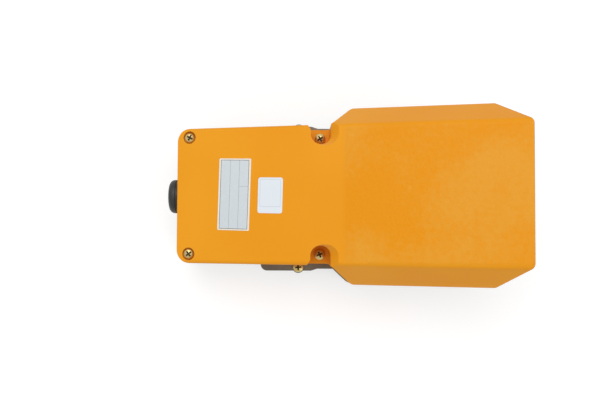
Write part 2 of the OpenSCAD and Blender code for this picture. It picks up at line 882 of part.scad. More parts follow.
module pedal_tread() {
    tread_w = pedal_w - 2 * tread_edge;
    span = (pedal_front_d - tread_edge - tread_rear_d) / cos(pedal_angle);
    ribs = floor((span - 4) / rib_pitch);
    rib_end = 11;
    color("black") difference() {
        tread_frame(tread_rear_d) {
            linear_extrude(tread_t)
                round_rect(-tread_w / 2, -span, tread_w / 2, 0, 8);
            for (i = [0 : ribs - 1])
                translate([-tread_w / 2 + rib_end, -2.5 - rib_pitch * (i + 0.5), tread_t - 0.5])
                    rotate([90, 0, 90]) linear_extrude(tread_w - 2 * rib_end) rib_section();
        }
        for (p = tread_screw_places) tread_frame(p[1]) translate([p[0], 0, -1]) {
            cylinder(h = 10, r = m3_r + screw_clear);
            translate([0, 0, 1 + tread_t - 0.6]) cylinder(h = 10, r = m3_head_r + 0.5);
        }
    }
}

// One rib of the tread, round on top
module rib_section() {
    half = rib_pitch / 4;
    r = 1;
    translate([-half, 0]) square([2 * half, rib_h + 0.5 - r]);
    translate([-half + r, 0]) square([2 * (half - r), rib_h + 0.5]);
    for (v = [-half + r, half - r]) translate([v, rib_h + 0.5 - r]) circle(r);
}

module tread_screws() {
    color("silver") for (p = tread_screw_places)
        tread_frame(p[1]) translate([p[0], 0, tread_t - 0.6])
            pan_screw(m3_r, tread_t - 0.6 + plate_t, m3_head_r, m3_head_h);
}

module adjuster_screw() {
    tip_r = 1.6;
    flat_z = adjust_tip_z - tip_r;
    color("silver") difference() {
        union() {
            post(0, adjust_d, tail_low + 0.5, flat_z, adjuster_r);
            translate([0, y(adjust_d), flat_z]) sphere(tip_r);
        }
        translate([0, y(adjust_d), tail_low - 1]) cylinder(h = 4, r = 1.4, $fn = 6);
    }
}

module adjuster_nut() {
    color("silver") translate([0, y(adjust_d), tail_low + tail_t]) hex_nut(8, 4, adjuster_r);
}

module tail_stop() {
    color("black") {
        post(0, adjust_d, tail_stop_z - 2, tail_stop_z, 4);
        post(0, adjust_d, tail_stop_z - 4, tail_stop_z - 1, 1.5);
    }
}

module front_stops() {
    color("black") for (x = [-stop_x, stop_x]) {
        post(x, stop_d, stop_seat_z, stop_top_z - 2, stop_r - 0.5);
        post(x, stop_d, stop_top_z - 3, stop_top_z, stop_r - 2);
        post(x, stop_d, stop_seat_z - 5, stop_seat_z + 1, 2);
    }
}

// ---------------------------------------------------------------- return spring

// How much of the stretch from angle a0 to angle a1 lies before angle a, from 0 to 1
function share(a, a0, a1) = min(max((a - a0) / (a1 - a0), 0), 1);

// Rise of the wire's centre at turn angle a: the first and last turns lie close, for a flat end
function wire_rise(a, h) =
    let (last = 360 * spring_turns, close = 1.08 * wire_d, open = h - wire_d - 2 * close)
    wire_d / 2 + close * share(a, 0, 360) + open * share(a, 360, last - 360)
        + close * share(a, last - 360, last);

// Corners of the wire's section at turn angle a, for a spring of height h
function wire_ring(a, h, sides) = [for (k = [0 : sides - 1])
    let (b = 360 * k / sides, reach_r = spring_r + wire_d / 2 * cos(b))
    [reach_r * cos(a), reach_r * sin(a), wire_rise(a, h) + wire_d / 2 * sin(b)]];

module return_spring() {
    h = spring_cup_z - floor_z - 2 * seat_gap;
    sides = 8;
    steps = 18 * spring_turns;
    points = [for (i = [0 : steps]) each wire_ring(20 * i, h, sides)];
    sides_faces = [for (i = [0 : steps - 1], k = [0 : sides - 1])
        [i * sides + k, i * sides + (k + 1) % sides, (i + 1) * sides + (k + 1) % sides, (i + 1) * sides + k]];
    end_faces = [[for (k = [sides - 1 : -1 : 0]) k], [for (k = [0 : sides - 1]) steps * sides + k]];
    color("silver") translate([0, y(spring_d), floor_z + seat_gap])
        polyhedron(points, concat(sides_faces, end_faces), convexity = 10);
}

// ---------------------------------------------------------------- cable gland

module gland_body() {
    color("black") difference() {
        union() {
            long_rod(-5, cover_wall + 8, gland_thread_r, gland_z);
            long_rod(-2.6, -gland_washer_t, gland_cap_r - 0.5, gland_z);
        }
        long_rod(-gland_out, cover_wall + 9, gland_bore_r, gland_z);
    }
}

// The clamping cap: domed, with the cable hole in its end
module gland_cap() {
    corner_r = 4;
    long = gland_out - 2.7;
    color("black") translate([0, rear_y + 2.7, gland_z]) rotate([-90, 0, 0]) difference() {
        rotate_extrude() difference() {
            union() {
                square([gland_cap_r, long - corner_r]);
                square([gland_cap_r - corner_r, long]);
                translate([gland_cap_r - corner_r, long - corner_r]) circle(corner_r);
            }
            translate([-gland_cap_r, -gland_cap_r]) square([gland_cap_r, 3 * gland_cap_r]);
            translate([0, -gland_cap_r]) square([2 * gland_cap_r, gland_cap_r]);
        }
        translate([0, 0, -1]) cylinder(h = 3.4, r = gland_thread_r + 0.05);
        translate([0, 0, -1]) cylinder(h = long - 0.4, r = gland_bore_r);
        cylinder(h = 2 * long, r = cable_r + 1.5);
    }
}

module gland_seal() {
    color("dimgray") difference() {
        long_rod(-gland_out + 1.5, 3, gland_bore_r - 0.05, gland_z);
        long_rod(-2 * gland_out, 4, cable_r, gland_z);
    }
}

module gland_washer() {
    color("black") difference() {
        long_rod(-gland_washer_t, 0, gland_cap_r - 0.5, gland_z);
        long_rod(-1, 1, gland_thread_r + 0.05, gland_z);
    }
}

module gland_locknut() {
    color("dimgray") translate([0, y(cover_wall), gland_z]) rotate([90, 0, 0])
        hex_nut(24, 5, gland_thread_r + 0.05);
}

// ---------------------------------------------------------------- snap-action switch

// The bracket seen along the body: a foot, a rounded bend and an upright
module bracket_profile(foot_end, face, top) {
    bend_r = 3;
    foot_high = bracket_z + bend_r;
    translate([foot_end, bracket_z]) square([face - bend_r - foot_end, bracket_t]);
    translate([face - bracket_t, foot_high]) square([bracket_t, top - foot_high]);
    intersection() {
        translate([face - bend_r, foot_high]) difference() {
            circle(bend_r);
            circle(bend_r - bracket_t);
        }
        translate([face - bend_r, bracket_z]) square(bend_r);
    }
}

module switch_bracket() {
    low_d = hole_d - micro_pitch / 2 - 6;
    high_d = hole_d + micro_pitch / 2 + 6;
    window_half = 9;
    color("silver") difference() {
        translate([0, y(low_d), 0]) rotate([90, 0, 0]) linear_extrude(high_d - low_d)
            bracket_profile(bracket_x - 7, -micro_half, hole_z + 5);
        mount_hole_pair(-micro_half - 2 * bracket_t, 0, m4_r + screw_clear);
        for (d = bracket_ds) post(bracket_x, d, 0, part_z, m4_r + screw_clear);
        block(-micro_half - 2 * bracket_t, 0, hole_d - window_half, hole_d + window_half,
            bracket_z + 6, micro_z + 4);
    }
}

module bracket_screws() {
    color("silver") for (d = bracket_ds) translate([bracket_x, y(d), bracket_z + bracket_t])
        pan_screw(m4_r, bracket_t + 3.5, m4_head_r, m4_head_h);
}

// Side outline of the switch body, set in by inset
module case_outline(inset) {
    round_rect(y(micro_d + micro_len - inset), micro_z + inset, y(micro_d + inset), micro_top - inset,
        max(2 - inset, 0.4));
}

module mount_hole_pair(x0, x1, r) {
    for (s = [-1, 1]) cross_rod(x0, x1, r, hole_d + s * micro_pitch / 2, hole_z);
}

module switch_case() {
    inner = micro_half - side_t;
    color("dimgray") difference() {
        union() {
            difference() {
                across(-micro_half, inner) case_outline(0);
                across(-micro_half + case_t, inner + 1) case_outline(case_t);
            }
            mount_hole_pair(-micro_half, inner, 3.7);
            post(0, plunger_d, micro_z, micro_z + 3, plunger_r + 1.8);
            both_sides() across(3.9, 6.9) {
                translate([y(pin_d), pin_z]) circle(2.2);
                translate([y(pin_d) - 2.2, pin_z]) square([4.4, micro_z - pin_z + 0.5]);
            }
        }
        mount_hole_pair(-micro_half - 1, micro_half, m4_r + screw_clear);
        post(0, plunger_d, micro_z - 1, micro_z + 4, plunger_r + run_clear);
        cross_rod(-micro_half, micro_half, 1.02, pin_d, pin_z);
        terminal_slot(-terminal_x1, -terminal_x0, closed_z);
        terminal_slot(terminal_x0, terminal_x1, open_z);
        block(-common_half - 0.05, common_half + 0.05, micro_d + micro_len - 3,
            micro_d + micro_len + 1, common_z - 0.05, common_z + terminal_t + 0.05);
    }
}

// A slot through the rear end of the case for a terminal strip
module terminal_slot(x0, x1, z) {
    block(x0 - 0.05, x1 + 0.05, micro_d - 1, micro_d + case_t + 0.5, z - 0.05, z + terminal_t + 0.05);
}

module switch_side_plate() {
    color("black") difference() {
        across(micro_half - side_t, micro_half) case_outline(0);
        mount_hole_pair(0, micro_half + 1, m4_r + screw_clear);
    }
}

module switch_screws() {
    len = micro_w + bracket_t + m4_nut_h + 1;
    color("silver") for (s = [-1, 1])
        translate([micro_half, y(hole_d + s * micro_pitch / 2), hole_z]) rotate([0, 90, 0])
            pan_screw(m4_r, len, m4_head_r, m4_head_h);
}

module switch_nuts() {
    color("silver") for (s = [-1, 1])
        translate([-micro_half - bracket_t, y(hole_d + s * micro_pitch / 2), hole_z])
            rotate([0, -90, 0]) hex_nut(7, m4_nut_h, m4_r + 0.02);
}

// The plunger: a domed tip below, a flange inside the case and a stem up to the blade
module switch_plunger() {
    lever_top = pin_z - plunger_arm * tan(lever_droop) + lever_t / 2 / cos(lever_droop);
    tip_z = lever_top + 0.08;
    color("red") {
        translate([0, y(plunger_d), tip_z + plunger_r]) sphere(plunger_r);
        post(0, plunger_d, tip_z + plunger_r, micro_z + 3.2, plunger_r);
        post(0, plunger_d, micro_z + 3.2, micro_z + 4.2, plunger_r + 0.9);
        post(0, plunger_d, micro_z + 4.2, blade_z - blade_t / 2 - 0.1, 1);
    }
}

module lever_pin() {
    color("silver") cross_rod(-6.9, 6.9, 1, pin_d, pin_z);
}

// The hinged lever, drooping from its pin to the adjusting screw
module switch_lever() {
    long = (lever_end_d - pin_d) / cos(lever_droop);
    color("silver") translate([0, y(pin_d), pin_z]) rotate([lever_droop, 0, 0]) difference() {
        union() {
            rotate([0, 90, 0]) cylinder(h = 7.4, r = 1.85, center = true);
            translate([-3, -long + 3, -lever_t / 2]) cube([6, long - 3, lever_t]);
            translate([0, -long + 3, -lever_t / 2]) cylinder(h = lever_t, r = 3);
        }
        rotate([0, 90, 0]) cylinder(h = 9, r = 1.04, center = true);
    }
}

// A screw tab outside the case, with its hole
module terminal_tab(x0, x1, d0, d1, z, hole_x, tab_hole_d) {
    difference() {
        block(x0, x1, d0, d1, z, z + terminal_t);
        post(hole_x, tab_hole_d, z - 1, z + 3, m35_r + 0.05);
    }
}

module closed_terminal() {
    color("goldenrod") {
        terminal_tab(-terminal_x1, -terminal_x0, tab_d, contact_d + 2, closed_z, -tab_x, tab_hole_d);
        block(-terminal_x1, 1.7, micro_d + case_t + 0.4, contact_d + 2, closed_z, closed_z + terminal_t);
        post(0, contact_d, closed_z, closed_z + terminal_t + contact_h, 1.5);
    }
}

module open_terminal() {
    color("goldenrod") {
        terminal_tab(terminal_x0, terminal_x1, tab_d, contact_d + 2, open_z, tab_x, tab_hole_d);
        block(-1.7, terminal_x1, micro_d + case_t + 0.4, contact_d + 2, open_z, open_z + terminal_t);
        post(0, contact_d, open_z - contact_h, open_z + terminal_t, 1.5);
    }
}

module common_terminal() {
    end_d = micro_d + micro_len;
    color("goldenrod") {
        terminal_tab(-common_half, common_half, blade_root_d - 1, end_d + 10, common_z, 0, end_d + 5.5);
        block(-common_half, common_half, blade_root_d + 0.6, blade_root_d + 1.3, common_z, blade_z + 2);
    }
}

// The moving contact: a thin blade from its root to a contact at its tip
module contact_blade() {
    tip_z = closed_z + terminal_t + contact_h + 0.03;
    color("darkorange") {
        cross_rod(-2.5, 2.5, 0.5, blade_root_d, blade_z);
        block(-2.5, 2.5, contact_d - 1.5, blade_root_d, blade_z - blade_t / 2, blade_z + blade_t / 2);
        post(0, contact_d, tip_z, 2 * blade_z - tip_z, 1.4);
    }
}

module terminal_screws() {
    places = [
        [-tab_x, tab_hole_d, closed_z], [tab_x, tab_hole_d, open_z],
        [0, micro_d + micro_len + 5.5, common_z]
    ];
    color("goldenrod") for (p = places)
        translate([p[0], y(p[1]), p[2] + terminal_t]) pan_screw(m35_r, 4.5, 3, 2);
}

module earth_screw() {
    color("goldenrod") translate([earth_x, y(earth_d), bracket_z + washer_cup])
        pan_screw(m4_r, bracket_z + washer_cup - floor_z, m4_head_r, m4_head_h);
}

module earth_washer() {
    color("goldenrod") difference() {
        post(earth_x, earth_d, bracket_z, bracket_z + washer_cup, 5);
        post(earth_x, earth_d, bracket_z - 1, bracket_z + 3, m4_r + screw_clear);
    }
}

base_casting();
cover_casting();
cover_gasket();
cover_screws();
rubber_feet();
feet_screws();
hinge_shaft();
shaft_lock_screws();
thrust_washers();
pedal_casting();
pedal_bushes();
pedal_tread();
tread_screws();
adjuster_screw();
adjuster_nut();
tail_stop();
front_stops();
return_spring();
gland_body();
gland_cap();
gland_seal();
gland_washer();
gland_locknut();
switch_bracket();
bracket_screws();
switch_case();
switch_side_plate();
switch_screws();
switch_nuts();
switch_plunger();
switch_lever();
lever_pin();
common_terminal();
open_terminal();
closed_terminal();
contact_blade();
terminal_screws();
earth_screw();
earth_washer();
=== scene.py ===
"""Looks of a heavy-duty industrial foot switch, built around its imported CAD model.

The cast cover, base and pedal keep their CAD shape and get paint with softened edges. The
screws, the pedal's tread and the return spring are Geometry Nodes trees that end as plain
meshes, and the plates on the cover are drawn in mesh code. All lengths are in metres: the
hood's mouth faces -Y, the cable gland +Y, and Z is up.
"""

from __future__ import annotations

import json
import logging
import math
from dataclasses import dataclass
from enum import Enum
from functools import lru_cache
from typing import Iterable, Sequence, Union

import bmesh
import bpy
from mathutils import Matrix, Vector


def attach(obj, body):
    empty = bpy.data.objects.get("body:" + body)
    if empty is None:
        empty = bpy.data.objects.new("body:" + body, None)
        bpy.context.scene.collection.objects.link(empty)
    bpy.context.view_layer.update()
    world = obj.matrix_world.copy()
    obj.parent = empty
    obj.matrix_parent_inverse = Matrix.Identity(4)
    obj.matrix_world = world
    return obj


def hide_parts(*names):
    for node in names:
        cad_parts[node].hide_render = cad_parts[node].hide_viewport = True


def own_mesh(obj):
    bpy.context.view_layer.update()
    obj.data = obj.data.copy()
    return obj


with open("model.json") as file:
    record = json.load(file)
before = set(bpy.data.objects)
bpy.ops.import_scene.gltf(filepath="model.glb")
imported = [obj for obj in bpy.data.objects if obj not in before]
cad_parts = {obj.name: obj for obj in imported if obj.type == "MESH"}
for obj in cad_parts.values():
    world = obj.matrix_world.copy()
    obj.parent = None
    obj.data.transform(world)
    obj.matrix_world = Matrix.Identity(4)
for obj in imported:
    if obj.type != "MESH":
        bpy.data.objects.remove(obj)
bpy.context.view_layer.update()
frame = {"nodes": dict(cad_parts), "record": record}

log = logging.getLogger("foot_switch")

# Where the cover's rear face stands, how high its top is there, and how that top rises.
REAR_Y = 0.11875
REAR_HEIGHT = 0.056
TOP_SLOPE = math.radians(15)

# The attribute that says how deep a screw's recess is at a point, and the plates' flat map.
RECESS = "recess"
FLAT_MAP = "flat"

Colour = tuple[float, float, float]
Point = tuple[float, float, float]


def y_at(distance: float) -> float:
    """Give the Y of a point at a distance forward of the cover's rear face."""
    return REAR_Y - distance


def top_at(distance: float) -> float:
    """Give the height of the cover's sloping top face at a distance from its rear face."""
    return REAR_HEIGHT + distance * math.tan(TOP_SLOPE)


def srgb(red: int, green: int, blue: int) -> Colour:
    """Turn an 8-bit display colour into the linear colour that a shader takes."""

    def linear(channel: int) -> float:
        """Turn one channel into its linear value."""
        v = channel / 255
        return v / 12.92 if v <= 0.04045 else ((v + 0.055) / 1.055) ** 2.4

    return linear(red), linear(green), linear(blue)


# ------------------------------------------------------------------ node trees


@dataclass(frozen=True)
class Value:
    """A node socket that takes part in Python expressions."""

    tree: "NodeTree"
    socket: bpy.types.NodeSocket

    def _math(self, operation: str, *values: "Number") -> "Value":
        """Add one Math node.

        Args:
            operation: The node's operation.
            values: The values or sockets that it works on.

        Returns:
            The node's result.
        """
        return self.tree.node("ShaderNodeMath", {"operation": operation}, dict(enumerate(values)))

    def __add__(self, other: "Number") -> "Value":
        """Add a value to this one."""
        return self._math("ADD", self, other)

    def __radd__(self, other: float) -> "Value":
        """Add this value to a number."""
        return self._math("ADD", other, self)

    def __sub__(self, other: "Number") -> "Value":
        """Take a value from this one."""
        return self._math("SUBTRACT", self, other)

    def __rsub__(self, other: float) -> "Value":
        """Take this value from a number."""
        return self._math("SUBTRACT", other, self)

    def __mul__(self, other: "Number") -> "Value":
        """Multiply this value by another."""
        return self._math("MULTIPLY", self, other)

    def __rmul__(self, other: float) -> "Value":
        """Multiply a number by this value."""
        return self._math("MULTIPLY", other, self)

    def __truediv__(self, other: "Number") -> "Value":
        """Divide this value by another."""
        return self._math("DIVIDE", self, other)

    def __lt__(self, other: "Number") -> "Value":
        """Give 1 where this value is below another, and 0 elsewhere."""
        return self._math("LESS_THAN", self, other)

    def __gt__(self, other: "Number") -> "Value":
        """Give 1 where this value is above another, and 0 elsewhere."""
        return self._math("GREATER_THAN", self, other)

    def __abs__(self) -> "Value":
        """Give the size of this value without its sign."""
        return self._math("ABSOLUTE", self)

    def least(self, other: "Number") -> "Value":
        """Give the lower of this value and another."""
        return self._math("MINIMUM", self, other)

    def most(self, other: "Number") -> "Value":
        """Give the higher of this value and another."""
        return self._math("MAXIMUM", self, other)

    def rise(self, low: float, high: float) -> "Value":
        """Rise smoothly from 0 where this value is low to 1 where it is high."""
        return self.tree.node(
            "ShaderNodeMapRange",
            {"interpolation_type": "SMOOTHSTEP"},
            {"Value": self, "From Min": low, "From Max": high},
        )


Number = Union[Value, float]
Input = Union[Value, float, int, str, bool, Sequence[float], list[Value], bpy.types.ID]


class NodeTree:
    """A node tree with one method that makes any node."""

    def __init__(self, tree: bpy.types.NodeTree) -> None:
        """Wrap an empty tree."""
        self.nodes = tree.nodes
        self.links = tree.links

    def node(
        self,
        kind: str,
        settings: dict[str, object] | None = None,
        inputs: dict[str | int, Input] | None = None,
        output: str | int = 0,
    ) -> Value:
        """Make a node, set it up, and link or fill its inputs.

        Args:
            kind: The node's type.
            settings: The node's properties, which are set first.
            inputs: What goes into each named or numbered input. A list fills an input that
                takes many links.
            output: The output to give back.

        Returns:
            The chosen output.
        """
        made = self.nodes.new(kind)
        for key, value in (settings or {}).items():
            setattr(made, key, value)
        for key, value in (inputs or {}).items():
            self.feed(made.inputs[key], value)
        ends = made.outputs if len(made.outputs) else made.inputs
        return Value(self, ends[output])

    def feed(self, socket: bpy.types.NodeSocket, value: Input) -> None:
        """Link or fill one input socket."""
        if isinstance(value, Value):
            self.links.new(value.socket, socket)
        elif isinstance(value, list):
            for one in value:
                self.links.new(one.socket, socket)
        elif socket.type == "RGBA" and len(value) == 3:
            socket.default_value = (*value, 1)
        else:
            socket.default_value = value

    def parts(self, vector: Value) -> tuple[Value, Value, Value]:
        """Split a vector into its X, Y and Z."""
        made = self.node("ShaderNodeSeparateXYZ", None, {0: vector}).socket.node
        return tuple(Value(self, made.outputs[i]) for i in range(3))

    def vector(self, x: Number, y: Number, z: Number) -> Value:
        """Join three values into a vector."""
        return self.node("ShaderNodeCombineXYZ", None, {0: x, 1: y, 2: z})


class Surface(NodeTree):
    """The node tree of one material."""

    def __init__(self, name: str) -> None:
        """Start an empty material on object coordinates."""
        self.material = bpy.data.materials.new(name)
        self.material.use_nodes = True
        super().__init__(self.material.node_tree)
        self.nodes.clear()
        self.place = self.node("ShaderNodeTexCoord", output="Object")

    def scaled(self, x: float, y: float, z: float) -> Value:
        """Give the object coordinates multiplied along each axis."""
        return self.node(
            "ShaderNodeVectorMath", {"operation": "MULTIPLY"}, {0: self.place, 1: (x, y, z)}
        )

    def noise(
        self, scale: float, detail: float = 2, rough: float = 0.5, at: Value | None = None
    ) -> Value:
        """Make soft noise from 0 to 1.

        Args:
            scale: Features to the metre.
            detail: How many finer layers it has.
            rough: How strong the finer layers are.
            at: The coordinates, or None for the object's own.

        Returns:
            The noise.
        """
        where = self.place if at is None else at
        return self.node(
            "ShaderNodeTexNoise",
            None,
            {"Vector": where, "Scale": scale, "Detail": detail, "Roughness": rough},
        )

    def cells(self, scale: float, soft: float = 0.6) -> Value:
        """Make the distance from the middle of each of many small cells."""
        return self.node(
            "ShaderNodeTexVoronoi",
            {"feature": "SMOOTH_F1"},
            {"Vector": self.place, "Scale": scale, "Smoothness": soft},
        )

    def blend(self, share: Number, first: Colour | Value, second: Colour | Value) -> Value:
        """Mix two colours by a share of the second."""
        return self.node(
            "ShaderNodeMix", {"data_type": "RGBA"}, {0: share, 6: first, 7: second}, output=2
        )

    def bump(self, height: Value, depth: float, under: Value | None = None) -> Value:
        """Turn a height from 0 to 1 into a normal.

        Args:
            height: The height.
            depth: How deep it is in metres.
            under: A normal to lay it on.

        Returns:
            The new normal.
        """
        inputs: dict[str | int, Input] = {"Height": height, "Distance": depth, "Strength": 1.0}
        if under is not None:
            inputs["Normal"] = under
        return self.node("ShaderNodeBump", None, inputs)

    def soft_edges(self, radius: float) -> Value:
        """Give a normal that rounds every edge a little."""
        return self.node("ShaderNodeBevel", {"samples": 6}, {"Radius": radius})

    def edge_wear(self, radius: float) -> Value:
        """Give 1 on edges and 0 on open faces."""
        plain = self.node("ShaderNodeNewGeometry", output="Normal")
        turned = self.node(
            "ShaderNodeVectorMath",
            {"operation": "DOT_PRODUCT"},
            {0: self.soft_edges(radius), 1: plain},
            output="Value",
        )
        return (1 - turned).rise(0.01, 0.12)

    def finish(self, **inputs: Input) -> bpy.types.Material:
        """End the material with one principled shader.

        Args:
            inputs: The shader's inputs by name, with an underscore for each space.

        Returns:
            The material.
        """
        named = {key.replace("_", " "): value for key, value in inputs.items()}
        shader = self.node("ShaderNodeBsdfPrincipled", None, named)
        self.node("ShaderNodeOutputMaterial", None, {"Surface": shader})
        return self.material


class Shape(NodeTree):
    """A Geometry Nodes tree with named sizes, which ends as one plain mesh."""

    def __init__(self, name: str, **sizes: float | int | bpy.types.ID) -> None:
        """Start a tree.

        Args:
            name: The name of the tree and its mesh.
            sizes: The tree's inputs and what each is set to.
        """
        self.name = name
        self.sizes = sizes
        self.group = bpy.data.node_groups.new(name, "GeometryNodeTree")
        super().__init__(self.group)
        kinds = {
            int: "NodeSocketInt",
            float: "NodeSocketFloat",
            bpy.types.Object: "NodeSocketObject",
        }
        self.keys = {
            key: self.group.interface.new_socket(
                name=key, in_out="INPUT", socket_type=kinds[type(value)]
            ).identifier
            for key, value in sizes.items()
        }
        self.group.interface.new_socket(
            name="Mesh", in_out="OUTPUT", socket_type="NodeSocketGeometry"
        )
        self.start = self.nodes.new("NodeGroupInput")

    def size(self, key: str) -> Value:
        """Give one of the tree's named inputs."""
        return Value(self, self.start.outputs[key])

    def join(self, *pieces: Value) -> Value:
        """Join pieces of geometry."""
        return self.node("GeometryNodeJoinGeometry", None, {0: list(pieces)})

    def moved(self, piece: Value, place: Input = (0, 0, 0), turn: Input = (0, 0, 0)) -> Value:
        """Turn a piece and then move it."""
        return self.node(
            "GeometryNodeTransform",
            None,
            {"Geometry": piece, "Translation": place, "Rotation": turn},
        )

    def ring(self, radius: Number, steps: int) -> Value:
        """Make a circle in the XY plane."""
        return self.node(
            "GeometryNodeCurvePrimitiveCircle", None, {"Resolution": steps, "Radius": radius}
        )

    def round_frame(self, width: Number, length: Number, corner: Number, steps: int = 6) -> Value:
        """Make a rectangle with round corners in the XY plane."""
        sharp = self.node(
            "GeometryNodeCurvePrimitiveQuadrilateral", None, {"Width": width, "Height": length}
        )
        return self.node(
            "GeometryNodeFilletCurve",
            {"mode": "POLY"},
            {"Curve": sharp, "Radius": corner, "Count": steps},
        )

    def swept(self, path: Value, section: Value) -> Value:
        """Draw a closed section along a path, with its ends closed."""
        return self.node(
            "GeometryNodeCurveToMesh",
            None,
            {"Curve": path, "Profile Curve": section, "Fill Caps": True},
        )

    def mesh(
        self, material: bpy.types.Material, holder: bpy.types.Mesh | None = None
    ) -> bpy.types.Object:
        """Run the tree once and keep its result as a plain mesh.

        Args:
            material: The finish of the whole piece.
            holder: The mesh that the tree starts from, where it has one.

        Returns:
            The finished object at the origin.
        """
        seed = holder or bpy.data.meshes.new(self.name + "_seed")
        carrier = new_object(self.name + "_tree", seed)
        modifier = carrier.modifiers.new(self.name, "NODES")
        modifier.node_group = self.group
        for key, value in self.sizes.items():
            modifier[self.keys[key]] = value
        seen = carrier.evaluated_get(bpy.context.evaluated_depsgraph_get())
        mesh = bpy.data.meshes.new_from_object(seen)
        carrier.modifiers.remove(modifier)
        bpy.data.objects.remove(carrier)
        mesh.name = self.name
        mesh.materials.clear()
        mesh.materials.append(material)
        return new_object(self.name, mesh)

    def end(self, piece: Value, material: bpy.types.Material) -> None:
        """End the tree: make instances real and set the finish."""
        real = self.node("GeometryNodeRealizeInstances", None, {"Geometry": piece})
        dressed = self.node(
            "GeometryNodeSetMaterial", None, {"Geometry": real, "Material": material}
        )
        self.node("NodeGroupOutput", None, {"Mesh": dressed})


# ---------------------------------------------------------------------- meshes


def new_object(name: str, data: bpy.types.ID) -> bpy.types.Object:
    """Put a mesh, lamp or camera into the scene at the origin."""
    made = bpy.data.objects.new(name, data)
    bpy.context.scene.collection.objects.link(made)
    return made


def smooth(mesh: bpy.types.Mesh, degrees: float = 35) -> None:
    """Shade a mesh smooth, except over edges sharper than an angle."""
    mesh.shade_smooth()
    mesh.set_sharp_from_angle(angle=math.radians(degrees))


def kept(bm: bmesh.types.BMesh, name: str) -> bpy.types.Mesh:
    """Keep a finished bmesh as a mesh."""
    mesh = bpy.data.meshes.new(name)
    bm.to_mesh(mesh)
    bm.free()
    return mesh


def lathe(name: str, outline: Sequence[tuple[float, float]], steps: int) -> bpy.types.Mesh:
    """Turn an outline round Z into a closed solid.

    Args:
        name: The mesh's name.
        outline: Points (radius, height) from the axis at the bottom to the axis at the top.
        steps: How many sides it has.

    Returns:
        The mesh.
    """
    bm = bmesh.new()
    rows: list[list[bmesh.types.BMVert]] = []
    for radius, height in outline:
        count = steps if radius > 0 else 1
        rows.append(
            [
                bm.verts.new((radius * math.cos(a), radius * math.sin(a), height))
                for a in (2 * math.pi * i / steps for i in range(count))
            ]
        )
    for low, high in zip(rows, rows[1:]):
        for i in range(steps):
            j = (i + 1) % steps
            ring = [low[i % len(low)], low[j % len(low)], high[j % len(high)], high[i % len(high)]]
            bm.faces.new(list(dict.fromkeys(ring)))
    bmesh.ops.recalc_face_normals(bm, faces=bm.faces)
    return kept(bm, name)


def cut(body: bpy.types.Mesh, tools: Iterable[bpy.types.Mesh]) -> bpy.types.Mesh:
    """Cut solids out of a solid.

    Args:
        body: The solid that is cut.
        tools: The solids to take away.

    Returns:
        What is left.
    """
    for tool in tools:
        carrier = new_object("cut_body", body)
        cutter = new_object("cutter", tool)
        modifier = carrier.modifiers.new("cut", "BOOLEAN")
        modifier.operation, modifier.solver, modifier.object = "DIFFERENCE", "EXACT", cutter
        seen = carrier.evaluated_get(bpy.context.evaluated_depsgraph_get())
        body = bpy.data.meshes.new_from_object(seen)
        bpy.data.objects.remove(carrier)
        bpy.data.objects.remove(cutter)
    return body


def wedge(
    length: float, width: float, depth: float, top: float, turn: float, taper: float = 0.62
) -> bpy.types.Mesh:
    """Make a bar that narrows downwards, for one arm pair of a cross recess.

    Args:
        length: Its length at the top.
        width: Its width at the top.
        depth: How far down it goes.
        top: The height of its top.
        turn: Its angle round Z.
        taper: How much of its length and width is left at the bottom.

    Returns:
        The mesh.
    """
    bm = bmesh.new()
    spin = Matrix.Rotation(turn, 3, "Z")
    rows = []
    for share, height in ((1.0, top), (taper, top - depth)):
        u, v = length / 2 * share, width / 2 * share
        corners = ((-u, -v), (u, -v), (u, v), (-u, v))
        rows.append([bm.verts.new(spin @ Vector((a, b, height))) for a, b in corners])
    bm.faces.new(rows[0])
    bm.faces.new(rows[1])
    for i in range(4):
        j = (i + 1) % 4
        bm.faces.new([rows[0][i], rows[0][j], rows[1][j], rows[1][i]])
    bmesh.ops.recalc_face_normals(bm, faces=bm.faces)
    return kept(bm, "wedge")


# -------------------------------------------------------------------- finishes


@dataclass(frozen=True)
class Finish:
    """A surface finish, made into a material once."""

    name: str
    colour: Colour

    @lru_cache(maxsize=None)
    def material(self) -> bpy.types.Material:
        """Make the material."""
        return self.build(Surface(self.name))

    def build(self, s: Surface) -> bpy.types.Material:
        """Lay the finish on an empty material."""
        raise NotImplementedError


